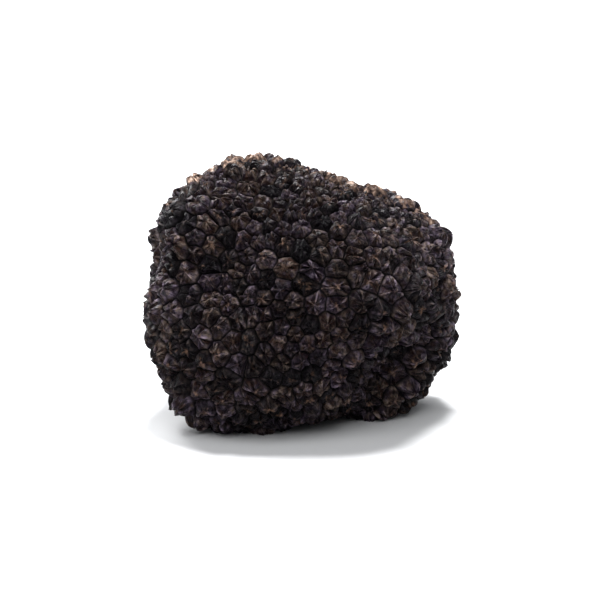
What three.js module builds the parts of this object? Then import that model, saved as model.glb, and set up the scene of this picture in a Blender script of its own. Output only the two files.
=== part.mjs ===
// A whole black truffle, lying on the flattened warts of its underside.
//
// The body is the smooth union of a few ellipsoidal lobes, less a few shallow dents. Its
// rind is a mosaic of warts: the cells of a Voronoi diagram drawn over the body. Each
// wart has a low many-sided top, which peaks or sinks at its apex, and a steep skirt that
// drops from the top's shoulders into the crevices between it and its neighbours.
// Units are millimetres, +Z is up, and the origin is on the ground under the middle
// of the body.

import * as THREE from "three";
import { ConvexHull } from "three/addons/math/ConvexHull.js";

// Driving dimensions: the outer size of the finished truffle, over its warts.
const LENGTH = 60;
const DEPTH = 54;
const HEIGHT = 49.5;

// The rind. A wart's own measures are fractions of its mean radius.
const WARTS = 600;
const SHOULDER_AT = 0.85; // how far out from the apex the top's shoulders lie
const SHOULDER_RISE = [0.0, 0.12]; // lowest and highest, above the bare body
const APEX_RISE = [0.1, 0.42];
const WART_LIFT = 0.4; // how much some warts stand above others, in mm
const CREVICE_DEPTH = 0.65; // below the bare body, in mm
const SEED_JITTER = 0.62; // of the mean spacing between wart centres
const RELAX_STEPS = 3;
const SHORTEST_SIDE = 0.55; // crevices shorter than this, in mm, close up into one corner
const BROAD_SIDE = new THREE.Vector3(0.6, -0.78, 0.15).normalize(); // the largest warts
const BROADENING = 0.18; // how much wider they are

// The body, laid out in a box close to the driving dimensions and then fitted to them.
const CENTRE = new THREE.Vector3(0, 0, 25);
const BLEND = 1.4; // how softly one lobe runs into the next
const SOLE = 0; // the height at which its own weight has pressed the feet flat
const LOBES = [
  { name: "core", centre: [0, 2, 25.5], radii: [26, 23, 22] },
  { name: "underside", centre: [0, 1, 14.5], radii: [21, 19, 14] },
  { name: "brow", centre: [6, -7, 28.5], radii: [18, 15, 15] },
  { name: "belly", centre: [-7, -8.5, 17], radii: [18, 14, 15] },
  { name: "left_shoulder", centre: [-15.5, 1, 34.5], radii: [13.2, 14, 12.5] },
  { name: "left_cheek", centre: [-16, -2, 21.5], radii: [14, 15, 15.5] },
  { name: "crown", centre: [-8, 5, 36.3], radii: [15.5, 15, 14] },
  { name: "right_shoulder", centre: [13.6, 6, 29], radii: [16.8, 15, 13.8] },
  { name: "right_cheek", centre: [17.5, 7, 18], radii: [14, 13.5, 16.5] },
  { name: "left_back", centre: [-9, 13, 25], radii: [17, 14, 17] },
  { name: "right_back", centre: [10, 15, 22], radii: [16, 13, 16] },
  { name: "front_foot", centre: [-12.5, -7.5, 9.5], radii: [13, 9.5, 10] },
  { name: "right_foot", centre: [14.5, 2, 9], radii: [10, 9, 9.6] },
  { name: "back_foot", centre: [-3, 13, 9.5], radii: [13, 9, 10] },
];
const DENTS = [
  { name: "under_brow", centre: [17, -10, 11.5], radius: 7, depth: 3 },
  { name: "over_foot", centre: [-4, -17, 4.5], radius: 4.5, depth: 1.6 },
  { name: "left_notch", centre: [-28, -3, 33.5], radius: 4, depth: 2 },
  { name: "left_trough", centre: [-14, -17, 33], radius: 6, depth: 1.2 },
  { name: "top_valley", centre: [9, -2, 46], radius: 7, depth: 1 },
  { name: "back_valley", centre: [0, 27, 30], radius: 8, depth: 2 },
  { name: "back_pit", centre: [20, 19, 33], radius: 6, depth: 1.8 },
];

/** A repeatable pseudo-random number from 0 to 1 for a whole number. */
function scatter(n) {
  const x = Math.sin(n * 12.9898 + 4.1414) * 43758.5453;
  return x - Math.floor(x);
}

/** How far a point is outside the body: negative inside, 0 on the skin, in mm. */
function outside(p) {
  let sum = 0;
  for (const { centre, radii } of LOBES) {
    const q = Math.hypot(
      (p.x - centre[0]) / radii[0],
      (p.y - centre[1]) / radii[1],
      (p.z - centre[2]) / radii[2],
    );
    const size = Math.cbrt(radii[0] * radii[1] * radii[2]);
    sum += Math.exp((-(q - 1) * size) / BLEND);
  }
  let height = -BLEND * Math.log(sum);
  for (const { centre, radius, depth } of DENTS) {
    const away = Math.hypot(p.x - centre[0], p.y - centre[1], p.z - centre[2]) / radius;
    height += depth * Math.exp(-away * away);
  }
  return Math.max(height, SOLE - p.z);
}

/** The point of the bare body in a direction from its centre, found by halving. */
function skinPoint(direction) {
  let near = 5;
  let far = 60;
  const p = new THREE.Vector3();
  for (let i = 0; i < 40; i++) {
    const middle = (near + far) / 2;
    p.copy(CENTRE).addScaledVector(direction, middle);
    if (outside(p) < 0) near = middle;
    else far = middle;
  }
  return p;
}

/** The outward normal of the body at a point, from the slope of outside(). */
function skinNormal(p) {
  const step = 0.05;
  const slope = (axis) => {
    const ahead = p.clone();
    const behind = p.clone();
    ahead[axis] += step;
    behind[axis] -= step;
    return outside(ahead) - outside(behind);
  };
  return new THREE.Vector3(slope("x"), slope("y"), slope("z")).normalize();
}

/** A repeatable pseudo-random number within a range. */
function between([low, high], n) {
  return low + (high - low) * scatter(n);
}

/** Directions spread over the sphere on a golden spiral, then shaken. */
function wartSeeds() {
  const spacing = Math.sqrt((4 * Math.PI) / WARTS);
  const golden = Math.PI * (3 - Math.sqrt(5));
  const seeds = [];
  for (let i = 0; i < WARTS; i++) {
    const z = 1 - (2 * i + 1) / WARTS;
    const r = Math.sqrt(1 - z * z);
    const seed = new THREE.Vector3(r * Math.cos(i * golden), r * Math.sin(i * golden), z);
    const shake = new THREE.Vector3(
      scatter(3 * i) - 0.5,
      scatter(3 * i + 1) - 0.5,
      scatter(3 * i + 2) - 0.5,
    );
    seeds.push(seed.addScaledVector(shake, 2 * SEED_JITTER * spacing).normalize());
  }
  return seeds;
}

/**
 * The Voronoi diagram of directions on the unit sphere.
 *
 * The convex hull of the seeds is their Delaunay mesh, and each hull face's normal
 * points at the corner where three cells meet. Returns the corner directions and,
 * for each seed, its ring of corner numbers, anticlockwise from outside.
 */
function voronoi(seeds) {
  const hull = new ConvexHull().setFromPoints(seeds);
  const corners = hull.faces.map((face) => face.normal.clone());
  const number = new Map(hull.faces.map((face, i) => [face, i]));
  const cells = new Map();
  for (const face of hull.faces) {
    for (let k = 0; k < 3; k++) {
      const first = face.getEdge(k);
      const seed = first.head().point;
      if (cells.has(seed)) continue;
      const ring = [];
      let edge = first;
      do {
        ring.push(number.get(edge.face));
        edge = edge.next.twin;
      } while (edge !== first);
      cells.set(seed, ring.reverse());
    }
  }
  return { corners, rings: seeds.map((seed) => cells.get(seed)) };
}

/** Moves each seed to the middle of its own cell, which evens the cells out. */
function relaxed(seeds) {
  const { corners, rings } = voronoi(seeds);
  return rings.map((ring) => {
    const middle = new THREE.Vector3();
    for (const c of ring) middle.add(corners[c]);
    return middle.normalize();
  });
}

/** Moves a direction away from the broad side, so that the cells there grow. */
function broadened(direction) {
  const angle = direction.angleTo(BROAD_SIDE);
  const turn = BROADENING * angle * Math.exp(-((angle / 0.9) ** 2));
  const axis = new THREE.Vector3().crossVectors(BROAD_SIDE, direction).normalize();
  return direction.clone().applyAxisAngle(axis, turn);
}

/** Joins corners that lie closer than SHORTEST_SIDE, and drops repeats from the rings. */
function closeShortSides(corners, rings) {
  const target = corners.map((_, i) => i);
  const root = (i) => (target[i] === i ? i : root(target[i]));
  for (const ring of rings) {
    ring.forEach((a, k) => {
      const b = ring[(k + 1) % ring.length];
      const gap = skinPoint(corners[a]).distanceTo(skinPoint(corners[b]));
      if (gap < SHORTEST_SIDE) target[root(Math.max(a, b))] = root(Math.min(a, b));
    });
  }
  return rings.map((ring) => {
    const joined = ring.map(root);
    return joined.filter((c, k) => c !== joined[(k + 1) % joined.length]);
  });
}

/**
 * One wart's top: its apex, and a shoulder on the way to each of its corners.
 *
 * "number" picks the wart's own lift and rises, "seed" is the direction of its middle
 * and "corners" are the points of the bare body at its corners.
 */
function wartTop(number, seed, corners) {
  const middle = skinPoint(seed);
  const up = skinNormal(middle);
  const radius = corners.reduce((sum, c) => sum + c.distanceTo(middle), 0) / corners.length;
  const lift = WART_LIFT * (scatter(number + 0.1) - 0.5);
  const apex = middle.clone().addScaledVector(up, lift + radius * between(APEX_RISE, number));
  const shoulders = corners.map((corner, k) => {
    const rise = radius * between(SHOULDER_RISE, 10 * number + k);
    return middle.clone().lerp(corner, SHOULDER_AT).addScaledVector(up, lift + rise);
  });
  return { apex, shoulders };
}

/** The closed rind: the tops of all the warts, joined by their skirts at the corners. */
function truffleGeometry() {
  let seeds = wartSeeds();
  for (let i = 0; i < RELAX_STEPS; i++) seeds = relaxed(seeds);
  seeds = seeds.map(broadened);
  const { corners, rings: openRings } = voronoi(seeds);
  const rings = closeShortSides(corners, openRings);

  const onBody = corners.map(skinPoint);
  const sunk = onBody.map((p) => p.clone().addScaledVector(skinNormal(p), -CREVICE_DEPTH));
  const points = [];
  rings.forEach((ring, i) => {
    const { apex, shoulders } = wartTop(i, seeds[i], ring.map((c) => onBody[c]));
    ring.forEach((c, k) => {
      const next = (k + 1) % ring.length;
      points.push(apex, shoulders[k], shoulders[next]);
      points.push(shoulders[k], sunk[c], sunk[ring[next]]);
      points.push(shoulders[k], sunk[ring[next]], shoulders[next]);
    });
  });
  for (const p of points) p.z = Math.max(p.z, 0); // the ground levels the lowest warts
  return new THREE.BufferGeometry().setFromPoints(points);
}

/** Scales and slides a geometry so that it fills the driving dimensions, on the ground. */
function fitToSize(geometry) {
  geometry.computeBoundingBox();
  const size = geometry.boundingBox.getSize(new THREE.Vector3());
  geometry.scale(LENGTH / size.x, DEPTH / size.y, HEIGHT / size.z);
  geometry.computeBoundingBox();
  const middle = geometry.boundingBox.getCenter(new THREE.Vector3());
  geometry.translate(-middle.x, -middle.y, -geometry.boundingBox.min.z);
  return geometry;
}

const rindMaterial = new THREE.MeshStandardMaterial({
  color: 0x2a2425,
  roughness: 0.65,
  metalness: 0,
  flatShading: true,
});

const truffle = new THREE.Mesh(fitToSize(truffleGeometry()), rindMaterial);
truffle.name = "truffle";

const group = new THREE.Group();
group.add(truffle);

export default group;
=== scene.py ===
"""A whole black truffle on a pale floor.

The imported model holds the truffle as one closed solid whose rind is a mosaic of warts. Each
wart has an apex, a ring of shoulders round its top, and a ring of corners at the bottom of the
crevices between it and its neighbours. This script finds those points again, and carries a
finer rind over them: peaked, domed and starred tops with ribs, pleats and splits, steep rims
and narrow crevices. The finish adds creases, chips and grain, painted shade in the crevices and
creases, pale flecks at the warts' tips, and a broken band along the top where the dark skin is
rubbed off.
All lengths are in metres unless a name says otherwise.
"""

from __future__ import annotations

import logging
import math
from dataclasses import dataclass, field
from enum import Enum, IntEnum

import bpy
import numpy as np
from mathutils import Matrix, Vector


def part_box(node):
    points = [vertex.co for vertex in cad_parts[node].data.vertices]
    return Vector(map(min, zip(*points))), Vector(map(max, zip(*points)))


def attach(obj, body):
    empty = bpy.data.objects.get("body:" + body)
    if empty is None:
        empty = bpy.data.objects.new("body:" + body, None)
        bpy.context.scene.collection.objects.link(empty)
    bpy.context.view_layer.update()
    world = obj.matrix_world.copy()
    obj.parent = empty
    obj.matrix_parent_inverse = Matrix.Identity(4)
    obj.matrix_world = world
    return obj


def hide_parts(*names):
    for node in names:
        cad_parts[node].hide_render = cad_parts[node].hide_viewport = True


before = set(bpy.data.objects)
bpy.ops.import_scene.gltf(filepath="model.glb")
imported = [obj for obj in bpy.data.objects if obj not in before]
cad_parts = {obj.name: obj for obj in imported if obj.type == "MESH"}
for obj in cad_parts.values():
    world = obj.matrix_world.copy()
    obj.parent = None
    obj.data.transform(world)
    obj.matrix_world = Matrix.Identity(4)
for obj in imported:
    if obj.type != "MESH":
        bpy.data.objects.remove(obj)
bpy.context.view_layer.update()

LOG = logging.getLogger("truffle")
MM = 0.001
NODE = "truffle"
BAKE_UV = "OFBake"

Array = np.ndarray
Pair = tuple[float, float]
Color = tuple[float, float, float, float]
Socket = bpy.types.NodeSocket


# ---------------------------------------------------------------- numbers over the surface


class Seed(IntEnum):
    """Which pattern of random numbers each feature of the rind draws from."""

    FORM = 3
    BULGE = 5
    RIBS = 7
    PLEATS = 11
    PLEATING = 13
    SPLITS = 17
    SPLITTING = 19
    TONE = 23
    FLECK = 29
    NUMBER = 31
    BARE = 37
    RIM = 41
    LIFT = 43
    SWELL = 101
    GRIT = 103
    WOBBLE = 107


def scatter(*keys: Array | float) -> Array:
    """A repeatable pseudo-random number from 0 to 1 for each set of keys.

    The sine of a weighted sum of the keys is blown up, and only its fraction is kept.

    Args:
        keys: up to four whole numbers, as arrays that broadcast together.

    Returns:
        The numbers, in the shape the keys broadcast to.
    """
    weights = (12.9898, 78.233, 37.719, 9.151)
    shift, gain = 4.1414, 43758.5453
    total = sum(weight * np.asarray(key, dtype=float) for weight, key in zip(weights, keys))
    blown_up = np.sin(total + shift) * gain
    return blown_up - np.floor(blown_up)


def smoothstep(low: float, high: float, value: Array) -> Array:
    """An S-shaped ramp from 0 at low to 1 at high.

    Args:
        low: where the ramp starts.
        high: where it ends; below low, the ramp runs downwards.
        value: the values to map.

    Returns:
        The ramp's heights, from 0 to 1.
    """
    t = np.clip((value - low) / (high - low), 0.0, 1.0)
    return t * t * (3.0 - 2.0 * t)


def lerp(a: Array | float, b: Array | float, t: Array | float) -> Array:
    """The mix of a and b, a where t is 0 and b where t is 1."""
    return a + (b - a) * t


def unit(vectors: Array) -> Array:
    """Vectors scaled to length 1, along their last axis."""
    return vectors / np.maximum(np.linalg.norm(vectors, axis=-1, keepdims=True), 1e-12)


def lump_noise(points: Array, scale: float, seed: int) -> Array:
    """Smooth lumps from -1 to 1 in space, the same for the same point.

    Each corner of a cubic lattice gets a random number, and a point takes the smoothly
    weighted mean of the eight corners round it.

    Args:
        points: places in metres, with x, y and z on the last axis.
        scale: the lattice spacing in metres.
        seed: which pattern.

    Returns:
        One number for each point.
    """
    place = points / scale
    base = np.floor(place)
    t = place - base
    t = t * t * t * (t * (6.0 * t - 15.0) + 10.0)
    total = np.zeros(points.shape[:-1])
    for corner in np.ndindex(2, 2, 2):
        offset = np.array(corner)
        weight = np.prod(np.where(offset == 1, t, 1.0 - t), axis=-1)
        lattice = base + offset
        total += weight * scatter(lattice[..., 0], lattice[..., 1], lattice[..., 2], seed)
    return 2.0 * total - 1.0


def lump_vectors(points: Array, scale: float, seed: int) -> Array:
    """Three lump_noise patterns as one vector field."""
    return np.stack([lump_noise(points, scale, seed + k) for k in range(3)], axis=-1)


# ---------------------------------------------------------------- the warts of the solid


@dataclass
class WartCage:
    """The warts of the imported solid, as arrays with one row for each sector.

    A sector is the slice of a wart between two neighbouring corners.

    Attributes:
        wart: which wart the sector is in, numbered from 0.
        apex: the wart's middle point, on its top.
        shoulders: the two ends of the sector's edge of the wart's top.
        corners: the two ends of its edge along the crevice.
        corner_ids: the numbers of those corners, shared between neighbouring warts.
        up: the outward direction of the wart.
        corner_up: the outward directions at the two corners.
        radius: the wart's mean radius.
    """

    wart: Array
    apex: Array
    shoulders: Array
    corners: Array
    corner_ids: Array
    up: Array
    corner_up: Array
    radius: Array

    @classmethod
    def of_node(cls, node: bpy.types.Object) -> WartCage:
        """Finds the warts in a node's mesh of loose triangles.

        Where three or more warts meet, nine or more edges meet too, and nowhere else. So a
        point with that many edges is a corner, its other neighbours are shoulders, and what
        is left is an apex.

        Args:
            node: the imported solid's object.

        Returns:
            The cage.
        """
        corner_edges = 9
        points, triangles = welded(node.data)
        sides = np.sort(triangles[:, [[0, 1], [1, 2], [2, 0]]].reshape(-1, 2), axis=1)
        sides = np.unique(sides, axis=0)
        edge_count = np.bincount(sides.ravel(), minlength=len(points))
        is_corner = edge_count >= corner_edges

        corner_total = is_corner[triangles].sum(axis=1)
        tops = triangles[corner_total == 0]
        skirts = triangles[corner_total == 2]
        links = triangles[corner_total == 1]

        is_shoulder = np.zeros(len(points), dtype=bool)
        is_shoulder[skirts[~is_corner[skirts]]] = True
        tops = rolled(tops, ~is_shoulder[tops])
        skirts = rolled(skirts, ~is_corner[skirts])
        links = rolled(links, is_corner[links])

        wart_points, wart_of_top = np.unique(tops[:, 0], return_inverse=True)
        wart_at = np.full(len(points), -1)
        wart_at[tops[:, 1]] = wart_of_top.ravel()
        next_shoulder = np.full(len(points), -1)
        next_shoulder[links[:, 2]] = links[:, 1]

        first, corner_ids = skirts[:, 0], skirts[:, 1:]
        wart = wart_at[first]
        apex = points[wart_points][wart]
        corners = points[corner_ids]
        facing = np.cross(corners[:, 0] - apex, corners[:, 1] - apex)
        up = unit(summed(facing, wart, len(wart_points)))[wart]
        corner_up = unit(summed(np.repeat(up, 2, axis=0), corner_ids.ravel(), len(points)))
        reach = np.linalg.norm(corners[:, 0] - apex, axis=1)
        return cls(
            wart=wart,
            apex=apex,
            shoulders=np.stack([points[first], points[next_shoulder[first]]], axis=1),
            corners=corners,
            corner_ids=corner_ids,
            up=up,
            corner_up=corner_up[corner_ids],
            radius=mean_by_wart(reach, wart),
        )


def welded(mesh: bpy.types.Mesh) -> tuple[Array, Array]:
    """Joins a mesh's loose triangles where their corners coincide to a micrometre.

    Args:
        mesh: a mesh of triangles.

    Returns:
        The separate points, and each triangle's three point numbers.
    """
    loose = np.empty(3 * len(mesh.vertices))
    mesh.vertices.foreach_get("co", loose)
    used = np.empty(3 * len(mesh.polygons), dtype=int)
    mesh.loops.foreach_get("vertex_index", used)
    micrometres = np.round(loose.reshape(-1, 3) * 1e6).astype(int)
    _, first, number = np.unique(micrometres, axis=0, return_index=True, return_inverse=True)
    return loose.reshape(-1, 3)[first], number.ravel()[used].reshape(-1, 3)


def rolled(triangles: Array, marked: Array) -> Array:
    """Turns each triangle round, without flipping it, so that its marked point is first."""
    start = np.argmax(marked, axis=1)[:, None]
    return np.take_along_axis(triangles, (start + np.arange(3)) % 3, axis=1)


def summed(values: Array, owner: Array, count: int) -> Array:
    """Adds up the rows of values that belong to the same owner.

    Args:
        values: one row for each item.
        owner: the number of each item's owner.
        count: how many owners there are.

    Returns:
        One row for each owner.
    """
    total = np.zeros((count, values.shape[1]))
    np.add.at(total, owner, values)
    return total


def mean_by_wart(values: Array, wart: Array) -> Array:
    """The mean over each wart's sectors of one number a sector, given to each sector."""
    count = np.bincount(wart)
    return (summed(values[:, None], wart, len(count)) / count[:, None])[wart, 0]


def node_box() -> tuple[Array, Array]:
    """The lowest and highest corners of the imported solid's box."""
    low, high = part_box(NODE)
    return np.array(low), np.array(high)


# ---------------------------------------------------------------- the fine rind


class WartForm(Enum):
    """What the top of a wart does at its middle, when it isn't simply domed."""

    PEAKED = "peaked"
    STARRED = "starred"


@dataclass(frozen=True)
class BareBand:
    """Where the dark skin is rubbed off: a broken band along the top, behind the crown.

    A pair is the two ends of a ramp, and a place is a share of the truffle's box.

    Attributes:
        level: how squarely a wart must face up, as the height of its outward direction.
        front_edge: where the band begins, from the front of the box to its back.
        back_edge: where it ends.
        right_side: where its weaker right part begins, from left to right.
        right_strength: how strong that part is.
        patch_size: the size of the patches that break it up.
        patch_share: how much the patches count.
        wart_share: how much each wart's own random number counts.
        patch_edge: how strong those two together must be.
    """

    level: Pair = (0.5, 0.85)
    front_edge: Pair = (0.44, 0.56)
    back_edge: Pair = (0.86, 0.7)
    right_side: Pair = (0.45, 0.6)
    right_strength: float = 0.7
    patch_size: float = 6.5 * MM
    patch_share: float = 0.75
    wart_share: float = 0.35
    patch_edge: Pair = (0.15, 0.75)

    def strength(self, cage: WartCage) -> Array:
        """How far each wart is rubbed bare.

        Args:
            cage: the warts.

        Returns:
            A number from 0 to 1 for each sector, the same all over a wart.
        """
        low, high = node_box()
        right, back, _ = ((cage.apex - low) / (high - low)).T
        on_top = smoothstep(*self.level, cage.up[:, 2])
        on_top *= smoothstep(*self.front_edge, back) * smoothstep(*self.back_edge, back)
        patchy = 0.5 + 0.5 * lump_noise(cage.apex, self.patch_size, Seed.BARE)
        own = scatter(cage.wart, Seed.BARE)
        patchy = smoothstep(*self.patch_edge, self.patch_share * patchy + self.wart_share * own)
        on_right = smoothstep(*self.right_side, right)
        return on_top * patchy * lerp(1.0, self.right_strength, on_right)


@dataclass
class Rind:
    """The truffle's rind, one closed skin with every wart in relief.

    On each sector, u runs from 0 to 1 from one corner to the next, and v from 0 at the
    apex to 1 in the crevice. The skin starts on the flat slice between apex and crevice, and
    is raised along the outward direction by a profile in u and v. In the list below, a pair
    is the range that warts or rays are spread over unless it says otherwise, and a height or
    depth is a share of the wart's radius where it isn't given in MM.

    Attributes:
        cage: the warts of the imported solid.
        band: where the skin is rubbed off.
        columns: the values of u that the skin is worked out at.
        rings: the values of v.
        shoulder_at: the value of v at the shoulders of the solid's warts.
        rim_sharpness: the power of v by which the rim falls.
        rim_lean: how much soft rims outnumber sharp ones, as a power.
        rim_fall: how squarely the rim ends in the crevice, as a power.
        crevice_depth: how far the crevices are sunk below the solid's.
        lift: how much some warts stand above others.
        least_height: the least height of a top above the flat slice.
        peaked, starred: ramps on a wart's random number that pick its form.
        peak_height: the rise of a plain middle and of a peaked one.
        bluntness: how far out the rounding of the apex reaches, as a value of v.
        blunt_fall: what the fall from the apex is divided by; less makes the top steeper.
        bulge: how far the top swells between apex and rim.
        star_dip, star_width: how deep a starred middle dips, and how far out, in v.
        rib_height, rib_spread: the ribs, and how strongly each wart shows them.
        pleat_depth, pleat_spread: the pleats, and how strongly each wart shows them.
        pleat_rise: the share of pleats that rise instead of sinking.
        relief_power: the power of v that draws ribs and pleats in towards the apex.
        split_share, split_spread: the share of split rays, and how it varies by wart.
        split_depth, split_opens: how deep a split is, and where it opens, in v.
        wobble, wobble_scale: the sideways waver of the crevices, and its lump size.
        swell, swell_scale: the slow swell of the skin, and its lump size.
        grit, grit_scale: its fine grit, and its lump size.
        crisp_angle: the angle between faces from which their edge looks sharp.
        chart_reach: the angle that the flat layout's cube faces cover each way.
        ridge_level, ridge_gain: how the ridge attribute follows the ribs and pleats.
        fleck_ramp: the ramp on a wart's random number that makes it flecked.
    """

    cage: WartCage
    band: BareBand = field(default_factory=BareBand)
    columns: tuple[float, ...] = (0.0, 0.16, 0.5, 0.84, 1.0)
    rings: tuple[float, ...] = (0.0, 0.2, 0.4, 0.58, 0.74, 0.87, 0.95, 1.0)
    shoulder_at: float = 0.85
    rim_sharpness: Pair = (4.5, 16.0)
    rim_lean: float = 1.5
    rim_fall: float = 0.6
    crevice_depth: float = 0.35 * MM
    lift: float = 0.35 * MM
    least_height: float = 0.15 * MM
    peaked: Pair = (0.45, 0.3)
    starred: Pair = (0.6, 0.75)
    peak_height: Pair = (-0.1, 0.04)
    bluntness: float = 0.42
    blunt_fall: float = 0.6
    bulge: Pair = (-0.2, 0.7)
    star_dip: float = 0.3
    star_width: float = 0.33
    rib_height: float = 0.11
    rib_spread: Pair = (0.1, 1.6)
    pleat_depth: float = 0.26
    pleat_spread: Pair = (0.4, 1.6)
    pleat_rise: float = 0.28
    relief_power: float = 0.8
    split_share: float = 0.2
    split_spread: Pair = (0.2, 1.8)
    split_depth: float = 0.8 * MM
    split_opens: Pair = (0.1, 0.55)
    wobble: float = 0.22 * MM
    wobble_scale: float = 1.5 * MM
    swell: float = 0.3 * MM
    swell_scale: float = 5.5 * MM
    grit: float = 0.1 * MM
    grit_scale: float = 0.8 * MM
    crisp_angle: float = math.radians(26.0)
    chart_reach: float = math.radians(59.0)
    ridge_level: float = 0.62
    ridge_gain: float = 5.0
    fleck_ramp: Pair = (0.45, 1.05)
    u: Array = field(init=False)
    v: Array = field(init=False)

    def __post_init__(self) -> None:
        """Lays out the grid of u and v that every sector uses."""
        self.u = np.array(self.columns)[None, None, :]
        self.v = np.array(self.rings)[None, :, None]

    def wart_random(self, seed: int) -> Array:
        """One random number for each wart, spread over its sectors' grids."""
        return scatter(self.cage.wart, seed)[:, None, None]

    def ray_random(self, seed: int) -> Array:
        """One random number for each ray of constant u, the same from both its sides.

        A ray to a corner draws by its wart and that corner, which the next sector shares. A
        ray between them draws by its wart, the sector's first corner and its own column.

        Args:
            seed: which pattern.

        Returns:
            The numbers, with axes sector, 1, u.
        """
        column_step = 0.37
        wart, ends = self.cage.wart, self.cage.corner_ids
        rays = np.arange(len(self.columns))[None, :]
        own = scatter(wart[:, None], ends[:, :1] + rays * column_step, seed)
        own[:, 0] = scatter(wart, ends[:, 0], seed)
        own[:, -1] = scatter(wart, ends[:, 1], seed)
        return own[:, None, :]

    def side_random(self, seed: int) -> Array:
        """A random number along each crevice, the same from both its sides.

        Each corner and each crevice's middle has its own number, and u blends them.

        Args:
            seed: which pattern.

        Returns:
            The numbers, with axes sector, 1, u.
        """
        ends = self.cage.corner_ids
        at_ends = scatter(ends, seed)[:, None, :]
        at_middle = scatter(ends.min(axis=1), ends.max(axis=1), seed)[:, None, None]
        along = lerp(at_ends[..., :1], at_ends[..., 1:], self.u)
        return lerp(along, at_middle, np.sin(np.pi * self.u))

    def along_crevice(self, ends: Array) -> Array:
        """Blends what each crevice has at its two ends, evenly over u."""
        return lerp(ends[:, None, None, 0], ends[:, None, None, 1], self.u[..., None])

    def form(self) -> dict[WartForm, Array]:
        """How strongly each wart takes each form.

        Returns:
            For each form, a number from 0 to 1 for each sector's wart.
        """
        pick = self.wart_random(Seed.FORM)
        return {
            WartForm.PEAKED: smoothstep(*self.peaked, pick),
            WartForm.STARRED: smoothstep(*self.starred, pick),
        }

    def profile(self) -> Array:
        """How high the skin stands above the flat slice, in metres.

        The top falls from the apex's height to the shoulders' as a blunted cone does: by the
        hypotenuse of v and the bluntness, less the bluntness. A bulge in v times one less v
        swells or hollows it between, a starred wart dips at its apex by a bell curve, and
        ribs, pleats and splits run outwards. The rim takes it all down to the crevice.

        Returns:
            The heights, for each sector and each u and v.
        """
        cage, u, v = self.cage, self.u, self.v
        radius = cage.radius[:, None, None]
        form = self.form()
        floor_apex = self.floor_apex()
        apex_height = np.einsum("si,si->s", cage.apex - floor_apex, cage.up)[:, None, None]
        under_ends = lerp(floor_apex[:, None, :], cage.corners, self.shoulder_at)
        at_ends = np.einsum("ski,si->sk", cage.shoulders - under_ends, cage.up)[:, None, :]
        shoulder = lerp(at_ends[..., :1], at_ends[..., 1:], u)

        peak = apex_height + radius * lerp(*self.peak_height, form[WartForm.PEAKED])
        fall = (np.hypot(v, self.bluntness) - self.bluntness) / self.blunt_fall
        top = lerp(peak, shoulder, fall) + self.lift * (self.wart_random(Seed.LIFT) - 0.5)
        top += radius * v * (1.0 - v) * lerp(*self.bulge, self.wart_random(Seed.BULGE))
        dip = np.exp(-((v / self.star_width) ** 2))
        top -= self.star_dip * radius * form[WartForm.STARRED] * dip
        top += radius * self.relief()
        top -= self.split_depth * self.splits()
        return np.maximum(top, self.least_height) * self.rim()

    def rim(self) -> Array:
        """How much of its height the skin keeps: one less a high power of v, to a low power.

        Returns:
            A number from 1 on the top to 0 in the crevice, for each sector, v and u.
        """
        sharpness = lerp(*self.rim_sharpness, self.side_random(Seed.RIM) ** self.rim_lean)
        return (1.0 - self.v**sharpness) ** self.rim_fall

    def relief(self) -> Array:
        """Ribs and pleats along each wart's rays, as a share of its radius.

        Ribs stand on the rays to the corners, and pleats mostly sink, by a random amount on
        each ray. Both grow and fade with v as the sine of half a turn, and are strongest a
        little nearer the apex than the crevice.

        Returns:
            The heights, for each sector and each u and v.
        """
        rib = np.abs(2.0 * self.u - 1.0) - 0.5
        rib = rib * lerp(*self.rib_spread, self.wart_random(Seed.RIBS))
        pleat = self.ray_random(Seed.PLEATS) - self.pleat_rise
        pleat = pleat * lerp(*self.pleat_spread, self.wart_random(Seed.PLEATING))
        swelling = np.sin(np.pi * self.v**self.relief_power)
        return swelling * (self.rib_height * rib - self.pleat_depth * pleat)

    def splits(self) -> Array:
        """Where the tops split: along random rays between the corners, open on the way out.

        Returns:
            How open the skin is, from 0 to 1, for each sector, v and u.
        """
        share = self.split_share * lerp(*self.split_spread, self.wart_random(Seed.SPLITTING))
        is_split = self.ray_random(Seed.SPLITS) < share
        is_between = (self.u > 0.0) & (self.u < 1.0)
        return (is_split & is_between) * smoothstep(*self.split_opens, self.v)

    def floor_apex(self) -> Array:
        """The point under each apex on the level of its wart's corners.

        Returns:
            One point for each sector.
        """
        cage = self.cage
        rise = np.einsum("si,si->s", cage.apex - cage.corners[:, 0], cage.up)
        return cage.apex - cage.up * mean_by_wart(rise, cage.wart)[:, None]

    def outward(self) -> Array:
        """The raising direction: the wart's own in its middle, shared in the crevice."""
        shared = self.along_crevice(self.cage.corner_up)
        return unit(lerp(self.cage.up[:, None, None, :], shared, self.v[..., None] ** 2))

    def skin(self) -> Array:
        """The finished points of the rind.

        The flat slice plus the profile, with the whole then shaken by smooth noise: a slow
        swell and fine grit along the outward direction, and a sideways wobble that bends
        the crevices. The ground levels what would go below it.

        Returns:
            Points with axes sector, v, u, xyz.
        """
        crevice = self.along_crevice(self.cage.corners)
        flat = lerp(self.floor_apex()[:, None, None, :], crevice, self.v[..., None])
        outward = self.outward()
        height = self.profile() - self.crevice_depth * self.v**4
        raised = flat + outward * height[..., None]
        height = self.swell * lump_noise(raised, self.swell_scale, Seed.SWELL)
        height += self.grit * lump_noise(raised, self.grit_scale, Seed.GRIT)
        shaken = raised + outward * height[..., None]
        shaken += self.wobble * lump_vectors(raised, self.wobble_scale, Seed.WOBBLE)
        shaken[..., 2] = np.maximum(shaken[..., 2], 0.0)
        return shaken

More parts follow.
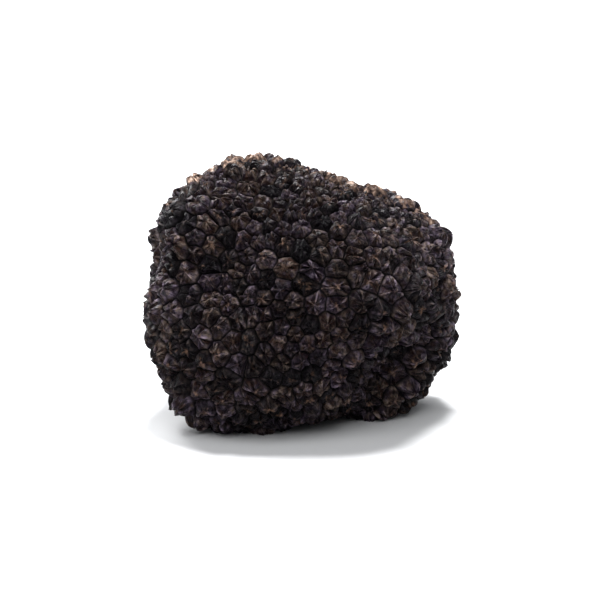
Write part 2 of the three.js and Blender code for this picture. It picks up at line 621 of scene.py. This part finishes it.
    def atlas(self) -> Array:
        """A flat layout of the rind with no two warts on top of each other.

        Every wart is drawn on the face of a cube that it looks at from the body's middle,
        in equal angles, so all get about the same room. The six faces lie three by two: a
        column for each axis, and a row for each way along it.

        Returns:
            Places from 0 to 1, with axes sector, v, u, 2.
        """
        low, high = node_box()
        middle = (low + high) / 2
        apex = unit(self.cage.apex - middle)
        crevice = self.along_crevice(unit(self.cage.corners - middle))
        ray = lerp(apex[:, None, None, :], crevice, self.v[..., None])
        axis = np.argmax(np.abs(apex), axis=1)
        sign = np.sign(np.take_along_axis(apex, axis[:, None], axis=1))[:, 0]
        order = (axis[:, None] + np.arange(3)) % 3
        turned = np.take_along_axis(ray, order[:, None, None, :], axis=3)
        ahead = turned[..., :1] * sign[:, None, None, None]
        flat = np.arctan2(turned[..., 1:], ahead) / (2 * self.chart_reach) + 0.5
        column = axis[:, None, None]
        row = (sign > 0)[:, None, None].astype(float)
        return np.stack([(flat[..., 0] + column) / 3.0, (flat[..., 1] + row) / 2.0], axis=-1)

    def build(self) -> bpy.types.Object:
        """Makes the rind's mesh, with its layout and the attributes its finish reads.

        The grid's quads are welded where sectors and warts meet, to a hundredth of a
        micrometre. A quad at an apex has two points there, and becomes a triangle.

        Returns:
            The new object, at the origin, with its place in its mesh.
        """
        points = self.skin()
        number = np.arange(points[..., 0].size).reshape(points.shape[:3])
        corner = [number[:, :-1, :-1], number[:, 1:, :-1], number[:, 1:, 1:], number[:, :-1, 1:]]
        quads = np.stack(corner, axis=-1).reshape(-1, 4)
        keys = np.round(points.reshape(-1, 3) * 1e8).astype(np.int64)
        _, first, weld = np.unique(keys, axis=0, return_index=True, return_inverse=True)
        faces = weld.ravel()[quads]
        at_apex = faces[:, 0] == faces[:, 3]

        mesh = bpy.data.meshes.new("rind")
        loops = faces[at_apex, :3].tolist() + faces[~at_apex].tolist()
        mesh.from_pydata(points.reshape(-1, 3)[first], [], loops)
        mesh.polygons.foreach_set("use_smooth", np.ones(len(loops), dtype=bool))
        mesh.set_sharp_from_angle(angle=self.crisp_angle)
        used = np.concatenate([quads[at_apex, :3].ravel(), quads[~at_apex].ravel()])
        self.add_layout(mesh, used)
        self.add_attributes(mesh, used)
        piece = bpy.data.objects.new("truffle_rind", mesh)
        bpy.context.scene.collection.objects.link(piece)
        return piece

    def add_layout(self, mesh: bpy.types.Mesh, used: Array) -> None:
        """Gives the mesh its flat layout.

        Args:
            mesh: the rind's mesh.
            used: the grid point behind each face corner.
        """
        layout = mesh.uv_layers.new(name=BAKE_UV)
        layout.data.foreach_set("uv", self.atlas().reshape(-1, 2)[used].ravel())

    def add_attributes(self, mesh: bpy.types.Mesh, used: Array) -> None:
        """Gives the mesh the numbers that its finish reads, on its face corners.

        Args:
            mesh: the rind's mesh.
            used: the grid point behind each face corner.
        """
        shape = (len(self.cage.wart), len(self.rings), len(self.columns))
        for name, value in {
            "reach": self.v,
            "tone": self.wart_random(Seed.TONE),
            "fleck": smoothstep(*self.fleck_ramp, self.wart_random(Seed.FLECK)),
            "number": self.wart_random(Seed.NUMBER),
            "bare": self.band.strength(self.cage)[:, None, None],
            # ridge: how far ribs stand and pleats sink, which the finish turns into a painted
            # highlight on the ribs and painted shade in the pleats
            "ridge": self.ridge_level + self.ridge_gain * self.relief(),
        }.items():
            attribute = mesh.attributes.new(name, "FLOAT", "CORNER")
            attribute.data.foreach_set("value", np.broadcast_to(value, shape).ravel()[used])
        attribute = mesh.attributes.new("ray", "FLOAT_VECTOR", "CORNER")
        rays = np.broadcast_to(self.rays(), (*shape, 3))
        attribute.data.foreach_set("vector", rays.reshape(-1, 3)[used].ravel())

    def rays(self) -> Array:
        """The unit direction from each apex to each place in its crevice, over u."""
        return unit(self.along_crevice(self.cage.corners) - self.cage.apex[:, None, None, :])


# ---------------------------------------------------------------- shader wiring


@dataclass
class Wiring:
    """Short ways to add common shader nodes to a tree."""

    tree: bpy.types.NodeTree

    def feed(self, socket: Socket, value: object) -> None:
        """Links a source to a socket, or sets the socket's constant.

        Args:
            socket: the input to feed.
            value: the output socket to link, or the constant.
        """
        if isinstance(value, Socket):
            self.tree.links.new(value, socket)
        else:
            socket.default_value = value

    def attribute(self, name: str, output: str = "Fac") -> Socket:
        """A mesh attribute.

        Args:
            name: the attribute's name.
            output: which of the node's outputs to take.

        Returns:
            The output.
        """
        node = self.tree.nodes.new("ShaderNodeAttribute")
        node.attribute_name = name
        return node.outputs[output]

    def math(self, operation: str, *values: object) -> Socket:
        """A math node.

        Args:
            operation: what it does.
            values: one to three sources or constants.

        Returns:
            Its output.
        """
        node = self.tree.nodes.new("ShaderNodeMath")
        node.operation = operation
        for socket, value in zip(node.inputs, values):
            self.feed(socket, value)
        return node.outputs[0]

    def vector_math(self, operation: str, *values: object) -> Socket:
        """A vector math node.

        Args:
            operation: what it does.
            values: one or two vectors.

        Returns:
            Its vector output.
        """
        node = self.tree.nodes.new("ShaderNodeVectorMath")
        node.operation = operation
        for socket, value in zip(node.inputs, values):
            self.feed(socket, value)
        return node.outputs[0]

    def scaled(self, vector: Socket, factor: float) -> Socket:
        """A vector times a number.

        Args:
            vector: the vector.
            factor: the number.

        Returns:
            The product.
        """
        product = self.vector_math("SCALE", vector)
        product.node.inputs["Scale"].default_value = factor
        return product

    def ramp(self, value: object, low: float, high: float) -> Socket:
        """A smooth ramp from 0 at low to 1 at high.

        Args:
            value: what it follows.
            low: where the ramp starts.
            high: where it ends; below low, the ramp runs downwards.

        Returns:
            Its output.
        """
        node = self.tree.nodes.new("ShaderNodeMapRange")
        node.interpolation_type = "SMOOTHSTEP"
        self.feed(node.inputs["Value"], value)
        node.inputs["From Min"].default_value = min(low, high)
        node.inputs["From Max"].default_value = max(low, high)
        node.inputs["To Min"].default_value = float(low > high)
        node.inputs["To Max"].default_value = float(low <= high)
        return node.outputs[0]

    def mix(self, factor: object, a: object, b: object) -> Socket:
        """A mix of two colours.

        Args:
            factor: how much of b there is.
            a: the first colour.
            b: the second.

        Returns:
            The mixed colour.
        """
        node = self.tree.nodes.new("ShaderNodeMix")
        node.data_type = "RGBA"
        first, second, mixed = node.inputs[6], node.inputs[7], node.outputs[2]
        self.feed(node.inputs["Factor"], factor)
        self.feed(first, a)
        self.feed(second, b)
        return mixed

    def object_place(self) -> Socket:
        """The place on the piece, in its own coordinates."""
        return self.tree.nodes.new("ShaderNodeTexCoord").outputs["Object"]

    def noise(self, scale: float, detail: float, vector: Socket | None = None) -> Socket:
        """Noise from 0 to 1.

        Args:
            scale: how many lumps there are to the vector's unit.
            detail: how many finer layers are added.
            vector: what the noise runs over, or None for the place on the piece.

        Returns:
            The noise.
        """
        node = self.tree.nodes.new("ShaderNodeTexNoise")
        node.inputs["Scale"].default_value = scale
        node.inputs["Detail"].default_value = detail
        self.feed(node.inputs["Vector"], vector or self.object_place())
        return node.outputs["Fac"]

    def noise_vector(self, scale: float, detail: float) -> Socket:
        """Three noises as a vector, each from -0.5 to 0.5, over the place on the piece."""
        noises = self.noise(scale, detail).node.outputs["Color"]
        return self.vector_math("SUBTRACT", noises, (0.5, 0.5, 0.5))


# ---------------------------------------------------------------- finishes


def srgb(red: float, green: float, blue: float) -> Color:
    """A colour given as it looks on a screen, as linear light.

    Args:
        red: its red part, from 0 to 255.
        green: its green part.
        blue: its blue part.

    Returns:
        The colour, opaque.
    """
    parts = [part / 255.0 for part in (red, green, blue)]
    linear = [p / 12.92 if p <= 0.04045 else ((p + 0.055) / 1.055) ** 2.4 for p in parts]
    return (linear[0], linear[1], linear[2], 1.0)


@dataclass(frozen=True)
class Striation:
    """Fine relief of a wart: creases that fan out from its apex, chips and an even grain.

    The fan is noise on the direction from the apex, which changes quickly round the wart
    and slowly along each ray, and the creases are the lines where it crosses its middle
    value. A finer fan runs between them. The chips are cones on scattered points, which cut
    the surface into small facets.

    Attributes:
        fan_scale, fan_detail: the fan's noise.
        fine_fan_scale, fine_fan_detail: the finer fan's noise.
        wart_step: how far apart in the noise the warts lie, so that no two look alike.
        ray_drift: how far the noise changes along a whole ray.
        crease_width: how near its middle value the noise makes a crease.
        fan_begins, fan_ends: where the fans fade in and out on the way from the apex.
        chip_scale: chips to the metre.
        chip_warp, warp_scale, warp_detail: how far their places are shaken, and the noise.
        grain_scale, grain_detail: the fine grain's noise.
        patch_scale, patch_detail: the noise that bunches the grain.
        patch_share, grain_share: how much each of the two counts in the grain output.
        grain_ramp: where that output starts and ends.
        crease_weight to grain_weight: what each adds to the height.
    """

    fan_scale: float = 3.2
    fan_detail: float = 1.5
    fine_fan_scale: float = 9.0
    fine_fan_detail: float = 2.0
    wart_step: float = 37.0
    ray_drift: float = 0.3
    crease_width: float = 0.055
    fan_begins: Pair = (0.06, 0.3)
    fan_ends: Pair = (0.95, 0.6)
    chip_scale: float = 900.0
    chip_warp: float = 0.6 * MM
    warp_scale: float = 1500.0
    warp_detail: float = 2.0
    grain_scale: float = 3200.0
    grain_detail: float = 3.0
    patch_scale: float = 900.0
    patch_detail: float = 6.0
    patch_share: float = 0.75
    grain_share: float = 0.25
    grain_ramp: Pair = (0.41, 0.63)
    crease_weight: float = -1.3
    fan_weight: float = 2.5
    fine_fan_weight: float = 2.0
    chip_weight: float = -1.1
    grain_weight: float = 0.8

    def group(self) -> bpy.types.NodeTree:
        """Builds the relief as a shader node group.

        Returns:
            The group. Its outputs are Height, for the bump; Crease, 1 in the creases; Fan,
            the finer fan as it is; and Grain, from 0 to 1 in bunched specks.
        """
        tree = bpy.data.node_groups.new("wart_striation", "ShaderNodeTree")
        for name in ("Height", "Crease", "Fan", "Grain"):
            tree.interface.new_socket(name=name, in_out="OUTPUT", socket_type="NodeSocketFloat")
        out = tree.nodes.new("NodeGroupOutput")
        nodes = Wiring(tree)

        ray = self.ray(nodes)
        fan = nodes.noise(self.fan_scale, self.fan_detail, ray)
        fine_fan = nodes.noise(self.fine_fan_scale, self.fine_fan_detail, ray)
        begun = nodes.ramp(nodes.attribute("reach"), *self.fan_begins)
        not_ended = nodes.ramp(nodes.attribute("reach"), *self.fan_ends)
        fanned = nodes.math("MULTIPLY", begun, not_ended)
        off_line = nodes.math("ABSOLUTE", nodes.math("SUBTRACT", fan, 0.5))
        crease = nodes.math("MULTIPLY", nodes.ramp(off_line, self.crease_width, 0.0), fanned)
        grain = nodes.noise(self.grain_scale, self.grain_detail)

        height = nodes.math("MULTIPLY", crease, self.crease_weight)
        for part, weight in (
            (nodes.math("MULTIPLY", fan, fanned), self.fan_weight),
            (nodes.math("MULTIPLY", fine_fan, fanned), self.fine_fan_weight),
            (self.chips(nodes), self.chip_weight),
            (grain, self.grain_weight),
        ):
            height = nodes.math("MULTIPLY_ADD", part, weight, height)
        patches = nodes.noise(self.patch_scale, self.patch_detail)
        specks = nodes.math("MULTIPLY", patches, self.patch_share)
        specks = nodes.math("MULTIPLY_ADD", grain, self.grain_share, specks)

        nodes.feed(out.inputs["Height"], height)
        nodes.feed(out.inputs["Crease"], crease)
        nodes.feed(out.inputs["Fan"], fine_fan)
        nodes.feed(out.inputs["Grain"], nodes.ramp(specks, *self.grain_ramp))
        return tree

    def ray(self, nodes: Wiring) -> Socket:
        """The direction from the apex, moved by the wart's number and, a little, by reach.

        Args:
            nodes: the group's wiring.

        Returns:
            The vector that the fans' noise runs over.
        """
        direction = nodes.vector_math("NORMALIZE", nodes.attribute("ray", "Vector"))
        move = nodes.tree.nodes.new("ShaderNodeCombineXYZ")
        by_wart = nodes.math("MULTIPLY", nodes.attribute("number"), self.wart_step)
        by_reach = nodes.math("MULTIPLY", nodes.attribute("reach"), self.ray_drift)
        nodes.feed(move.inputs["X"], by_wart)
        nodes.feed(move.inputs["Y"], by_reach)
        return nodes.vector_math("ADD", direction, move.outputs["Vector"])

    def chips(self, nodes: Wiring) -> Socket:
        """The distance from scattered points, on places shaken by noise.

        Args:
            nodes: the group's wiring.

        Returns:
            The distance, least in the middle of each chip.
        """
        shake = nodes.scaled(nodes.noise_vector(self.warp_scale, self.warp_detail), self.chip_warp)
        cells = nodes.tree.nodes.new("ShaderNodeTexVoronoi")
        cells.inputs["Scale"].default_value = self.chip_scale
        nodes.feed(cells.inputs["Vector"], nodes.vector_math("ADD", nodes.object_place(), shake))
        return cells.outputs["Distance"]


@dataclass(frozen=True)
class RindFinish:
    """The dry, near-black skin of the warts, with its dust, flecks and rubbed places, and painted
    shade in its crevices and creases.

    A pair is the two ends of a ramp, except for roughness.

    Attributes:
        black: the darkest skin.
        plum, brown: the two tints of the lighter skin.
        violet_grey, olive_grey: the two tints of the grey dust, which the raised ribs get more of
            as a painted highlight.
        crevice: the painted shade, near black, in the crevices and creases.
        fleck: the pale flecks at the warts' tips.
        rubbed, flesh: the skin where it is rubbed, and the flesh where it is rubbed through.
        roughness: where the grain shines most, and least.
        specular: the strength of the gloss.
        striation: the fine relief.
        striation_depth, striation_strength: how deep it is, and how much it bends the light.
        tone_scale, tone_detail, tone_weight, tone_ramp: how patches and warts lighten.
        hue_scale, hue_detail, hue_by_wart, hue_ramp: what picks between the two tints.
        dust_by_tone, least_dust: how a wart's tone adds dust, and what all warts have.
        ridge_sheen_gain, pleat_shade_shift: how much more dust the raised ribs get, as a painted
            highlight along them, and how the sunk pleats get none, as painted shade in them.
        crevice_shade_ramp, crease_shade: where the painted shade of the crevices starts, and how
            strongly the creases take it.
        dull_ramp: where the crevice's lack of gloss starts.
        tip_by_fan, tip_by_reach, tip_by_grain, tip_ramp: what makes a tip's fleck.
        rub_scale, rub_detail, rub_gain, rub_shift, rub_by_reach: what breaks up bare places.
        rubbed_ramp, flesh_ramp: how bare a place is when rubbed, and when rubbed through.
    """

    black: Color = srgb(11, 8, 12)
    plum: Color = srgb(30, 22, 32)
    brown: Color = srgb(42, 27, 21)
    violet_grey: Color = srgb(92, 81, 95)
    olive_grey: Color = srgb(98, 85, 76)
    # painted shade: the near black that the crevices and creases are painted with
    crevice: Color = srgb(4, 3, 4)
    fleck: Color = srgb(116, 90, 74)
    rubbed: Color = srgb(104, 84, 74)
    flesh: Color = srgb(184, 158, 141)
    roughness: Pair = (0.28, 0.55)
    specular: float = 0.12
    striation: Striation = Striation()
    striation_depth: float = 0.32 * MM
    striation_strength: float = 0.9
    tone_scale: float = 210.0
    tone_detail: float = 3.0
    tone_weight: float = 0.9
    tone_ramp: Pair = (0.5, 1.35)
    hue_scale: float = 850.0
    hue_detail: float = 6.0
    hue_by_wart: float = 0.2
    hue_ramp: Pair = (0.42, 0.78)
    dust_by_tone: float = 1.25
    least_dust: float = 0.06
    # painted highlight on the ribs and painted shade in the pleats, carried by the dust
    ridge_sheen_gain: float = 2.0
    pleat_shade_shift: float = -0.22
    # painted shade: where it starts in the crevices, and how strong it is in the creases
    crevice_shade_ramp: Pair = (0.82, 1.0)
    crease_shade: float = 0.9
    dull_ramp: Pair = (0.72, 0.95)
    tip_by_fan: float = 0.6
    tip_by_reach: float = -0.8
    tip_by_grain: float = 0.5
    tip_ramp: Pair = (0.2, 0.75)
    rub_scale: float = 800.0
    rub_detail: float = 6.0
    rub_gain: float = 2.2
    rub_shift: float = -1.15
    rub_by_reach: float = -0.5
    rubbed_ramp: Pair = (0.0, 0.35)
    flesh_ramp: Pair = (0.35, 0.7)

    def material(self) -> bpy.types.Material:
        """Builds the material.

        Returns:
            The material, whose patterns follow the rind's own attributes.
        """
        material = bpy.data.materials.new("truffle_rind")
        material.use_nodes = True
        tree = material.node_tree
        tree.nodes.clear()
        nodes = Wiring(tree)
        out = tree.nodes.new("ShaderNodeOutputMaterial")
        shader = tree.nodes.new("ShaderNodeBsdfPrincipled")
        nodes.feed(out.inputs["Surface"], shader.outputs[0])
        nodes.feed(shader.inputs["Specular IOR Level"], self.specular)

        striation = tree.nodes.new("ShaderNodeGroup")
        striation.node_tree = self.striation.group()
        skin = self.shaded_in_crevices(nodes, striation, self.skin(nodes, striation))
        skin = self.rubbed_bare(nodes, self.flecked(nodes, striation, skin))
        nodes.feed(shader.inputs["Base Color"], skin)
        nodes.feed(shader.inputs["Roughness"], self.dullness(nodes, striation))

        bump = tree.nodes.new("ShaderNodeBump")
        nodes.feed(bump.inputs["Distance"], self.striation_depth)
        nodes.feed(bump.inputs["Strength"], self.striation_strength)
        nodes.feed(bump.inputs["Height"], striation.outputs["Height"])
        nodes.feed(shader.inputs["Normal"], bump.outputs["Normal"])
        return material

    def skin(self, nodes: Wiring, striation: bpy.types.Node) -> Socket:
        """The skin on a wart's top: black to tinted by tone, with grey dust in specks, more of it
        on the raised ribs as a painted highlight and none in the sunk pleats as painted shade.

        Args:
            nodes: the material's wiring.
            striation: the placed fine relief.

        Returns:
            The colour.
        """
        patch = nodes.noise(self.tone_scale, self.tone_detail)
        tone = nodes.math("MULTIPLY_ADD", patch, self.tone_weight, nodes.attribute("tone"))
        tone = nodes.ramp(tone, *self.tone_ramp)
        mottle = nodes.noise(self.hue_scale, self.hue_detail)
        hue = nodes.math("MULTIPLY_ADD", nodes.attribute("number"), self.hue_by_wart, mottle)
        hue = nodes.ramp(hue, *self.hue_ramp)
        skin = nodes.mix(tone, self.black, nodes.mix(hue, self.plum, self.brown))
        dust = nodes.mix(hue, self.violet_grey, self.olive_grey)

        by_tone = (nodes.attribute("tone"), self.dust_by_tone, self.least_dust)
        dusty = nodes.math("MULTIPLY_ADD", *by_tone)
        dusty = nodes.math("MULTIPLY", striation.outputs["Grain"], dusty)
        # painted highlight and shade: the dust grows on raised ribs and drops away in sunk pleats,
        # following the relief as light and shade would
        by_ridge = (nodes.attribute("ridge"), self.ridge_sheen_gain, self.pleat_shade_shift)
        ridge_sheen_and_pleat_shade = nodes.math("MULTIPLY_ADD", *by_ridge)
        return nodes.mix(nodes.math("MULTIPLY", dusty, ridge_sheen_and_pleat_shade), skin, dust)

    def shaded_in_crevices(self, nodes: Wiring, striation: bpy.types.Node, skin: Socket) -> Socket:
        """Paints shade into the skin: near black in the crevices between warts and along the
        creases on them.

        Args:
            nodes: the material's wiring.
            striation: the placed fine relief.
            skin: the colour so far.

        Returns:
            The colour.
        """
        # painted shade: the skin goes near black deep in each crevice and along the creases, where
        # shade falls
        in_crevice = nodes.ramp(nodes.attribute("reach"), *self.crevice_shade_ramp)
        crease_shade_mask = nodes.math("MULTIPLY", striation.outputs["Crease"], self.crease_shade)
        return nodes.mix(crease_shade_mask, nodes.mix(in_crevice, skin, self.crevice), self.crevice)

    def flecked(self, nodes: Wiring, striation: bpy.types.Node, skin: Socket) -> Socket:
        """Adds the pale flecks: small stars at the tips of some warts, broken by the grain.

        Args:
            nodes: the material's wiring.
            striation: the placed fine relief.
            skin: the colour so far.

        Returns:
            The colour.
        """
        tip = nodes.math("MULTIPLY", striation.outputs["Fan"], self.tip_by_fan)
        tip = nodes.math("MULTIPLY_ADD", nodes.attribute("reach"), self.tip_by_reach, tip)
        tip = nodes.math("MULTIPLY_ADD", striation.outputs["Grain"], self.tip_by_grain, tip)
        tip = nodes.ramp(tip, *self.tip_ramp)
        return nodes.mix(nodes.math("MULTIPLY", tip, nodes.attribute("fleck")), skin, self.fleck)

    def rubbed_bare(self, nodes: Wiring, skin: Socket) -> Socket:
        """Wears the skin off the bare band, most at the warts' tips and in broken patches.

        Args:
            nodes: the material's wiring.
            skin: the colour so far.

        Returns:
            The colour.
        """
        noise = nodes.noise(self.rub_scale, self.rub_detail)
        rub = nodes.math("MULTIPLY_ADD", noise, self.rub_gain, self.rub_shift)
        rub = nodes.math("MULTIPLY_ADD", nodes.attribute("reach"), self.rub_by_reach, rub)
        bare = nodes.math("ADD", nodes.attribute("bare"), rub)
        skin = nodes.mix(nodes.ramp(bare, *self.rubbed_ramp), skin, self.rubbed)
        return nodes.mix(nodes.ramp(bare, *self.flesh_ramp), skin, self.flesh)

    def dullness(self, nodes: Wiring, striation: bpy.types.Node) -> Socket:
        """The roughness: it varies with the grain, and the crevices have no gloss.

        Args:
            nodes: the material's wiring.
            striation: the placed fine relief.

        Returns:
            The roughness.
        """
        shine, dull = self.roughness
        rough = nodes.math("MULTIPLY_ADD", striation.outputs["Grain"], dull - shine, shine)
        in_crevice = nodes.ramp(nodes.attribute("reach"), *self.dull_ramp)
        return nodes.math("MAXIMUM", rough, in_crevice)


# ---------------------------------------------------------------- the studio


class LampKind(Enum):
    """What kind of light a lamp gives."""

    SUN = "SUN"
    AREA = "AREA"


@dataclass(frozen=True)
class Lamp:
    """One studio light, turned to the middle of the truffle.

    Attributes:
        name: the light's name.
        kind: a sun, whose place only gives its direction, or an area light.
        energy: its strength, in watts to the square metre for a sun and watts for an area.
        spread: how wide it is: an angle for a sun, the length of a side for an area.
        place: where it hangs.
    """

    name: str
    kind: LampKind
    energy: float
    spread: float
    place: tuple[float, float, float]

    def hang(self, target: Vector) -> None:
        """Makes the light and turns it to a target.

        Args:
            target: the point it looks at.
        """
        light = bpy.data.lights.new(self.name, self.kind.value)
        light.energy = self.energy
        if self.kind is LampKind.SUN:
            light.angle = self.spread
        else:
            light.size = self.spread
        lamp = bpy.data.objects.new(self.name, light)
        lamp.location = self.place
        away = target - Vector(self.place)
        lamp.rotation_euler = away.to_track_quat("-Z", "Y").to_euler()
        bpy.context.scene.collection.objects.link(lamp)


@dataclass(frozen=True)
class Studio:
    """The floor, the light and the camera round the truffle.

    Attributes:
        floor_size: the length of the floor's side.
        floor_color, floor_roughness: its finish.
        walls, ceiling: the colours of the sky at its lowest and highest.
        sky_ramp: the heights on the unit sphere between which it turns to the ceiling's.
        sky: its strength.
        lamps: the lights.
        camera_distance: from the camera to its target.
        camera_elevation: how far above the level the camera looks from.
        lens, sensor: the camera's focal length and the width of its sensor, in millimetres.
        clip_start: the nearest that the camera sees.
        aim: the camera's target, from the middle of the truffle's box.
    """

    floor_size: float = 6.0
    floor_color: Color = (0.42, 0.423, 0.43, 1.0)
    floor_roughness: float = 0.9
    walls: Color = (0.19, 0.194, 0.203, 1.0)
    ceiling: Color = (0.95, 0.97, 1.0, 1.0)
    sky_ramp: Pair = (-0.1, 0.8)
    sky: float = 0.6
    lamps: tuple[Lamp, ...] = (
        Lamp("overhead", LampKind.SUN, 6.5, math.radians(12.0), (0.05, 0.14, 1.0)),
        Lamp("broad", LampKind.SUN, 3.0, math.radians(50.0), (-0.08, -0.75, 1.0)),
        Lamp("rear", LampKind.AREA, 5.5, 0.25, (-0.2, 0.35, 0.35)),
    )
    camera_distance: float = 0.45
    camera_elevation: float = math.radians(13.0)
    lens: float = 143.0
    sensor: float = 36.0
    clip_start: float = 0.01
    aim: tuple[float, float, float] = (-0.5 * MM, 0.0, -2.6 * MM)

    def build(self) -> None:
        """Sets up everything round the truffle."""
        low, high = node_box()
        middle = Vector((low + high) / 2)
        self.floor()
        self.light_sky()
        for lamp in self.lamps:
            lamp.hang(middle)
        self.camera(middle + Vector(self.aim))
        bpy.context.scene.view_settings.view_transform = "Standard"

    def floor(self) -> None:
        """A plain pale floor that fills the view: one square, level with the lowest warts."""
        half = self.floor_size / 2
        mesh = bpy.data.meshes.new("floor")
        points = [(-half, -half, 0), (half, -half, 0), (half, half, 0), (-half, half, 0)]
        mesh.from_pydata(points, [], [(0, 1, 2, 3)])
        floor = bpy.data.objects.new("floor", mesh)
        bpy.context.scene.collection.objects.link(floor)
        material = bpy.data.materials.new("floor")
        material.use_nodes = True
        shader = material.node_tree.nodes["Principled BSDF"]
        shader.inputs["Base Color"].default_value = self.floor_color
        shader.inputs["Roughness"].default_value = self.floor_roughness
        shader.inputs["Specular IOR Level"].default_value = 0.0
        mesh.materials.append(material)

    def light_sky(self) -> None:
        """Lights the world softly, from grey walls to a pale ceiling."""
        world = bpy.data.worlds.new("studio")
        world.use_nodes = True
        nodes = Wiring(world.node_tree)
        direction = nodes.tree.nodes.new("ShaderNodeTexCoord").outputs["Generated"]
        height = nodes.tree.nodes.new("ShaderNodeSeparateXYZ")
        nodes.feed(height.inputs[0], direction)
        glow = nodes.ramp(height.outputs["Z"], *self.sky_ramp)
        background = nodes.tree.nodes["Background"]
        nodes.feed(background.inputs["Color"], nodes.mix(glow, self.walls, self.ceiling))
        nodes.feed(background.inputs["Strength"], self.sky)
        bpy.context.scene.world = world

    def camera(self, target: Vector) -> None:
        """A long lens in front of the truffle and a little above it.

        Args:
            target: the point it looks at.
        """
        data = bpy.data.cameras.new("camera")
        data.lens = self.lens
        data.sensor_width = self.sensor
        data.clip_start = self.clip_start
        tilt = self.camera_elevation
        away = Vector((0.0, -math.cos(tilt), math.sin(tilt)))
        camera = bpy.data.objects.new("camera", data)
        camera.location = target + away * self.camera_distance
        camera.rotation_euler = (-away).to_track_quat("-Z", "Y").to_euler()
        bpy.context.scene.collection.objects.link(camera)
        bpy.context.scene.camera = camera


# ---------------------------------------------------------------- the whole truffle


@dataclass
class Truffle:
    """The whole truffle: its rind in its finish, riding where the solid is."""

    finish: RindFinish = field(default_factory=RindFinish)

    def build(self) -> bpy.types.Object:
        """Builds and dresses the rind, and puts it in the solid's place.

        Returns:
            The rind's object.
        """
        cage = WartCage.of_node(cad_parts[NODE])
        piece = Rind(cage).build()
        piece.data.materials.append(self.finish.material())
        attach(piece, "root")
        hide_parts(NODE)
        faces, warts = len(piece.data.polygons), cage.wart.max() + 1
        LOG.info("%s: %d faces on %d warts", piece.name, faces, warts)
        return piece


def main() -> None:
    """Builds the truffle and the studio round it."""
    logging.basicConfig(level=logging.INFO, format="%(name)s: %(message)s")
    Truffle().build()
    Studio().build()


if __name__ == "__main__":
    main()
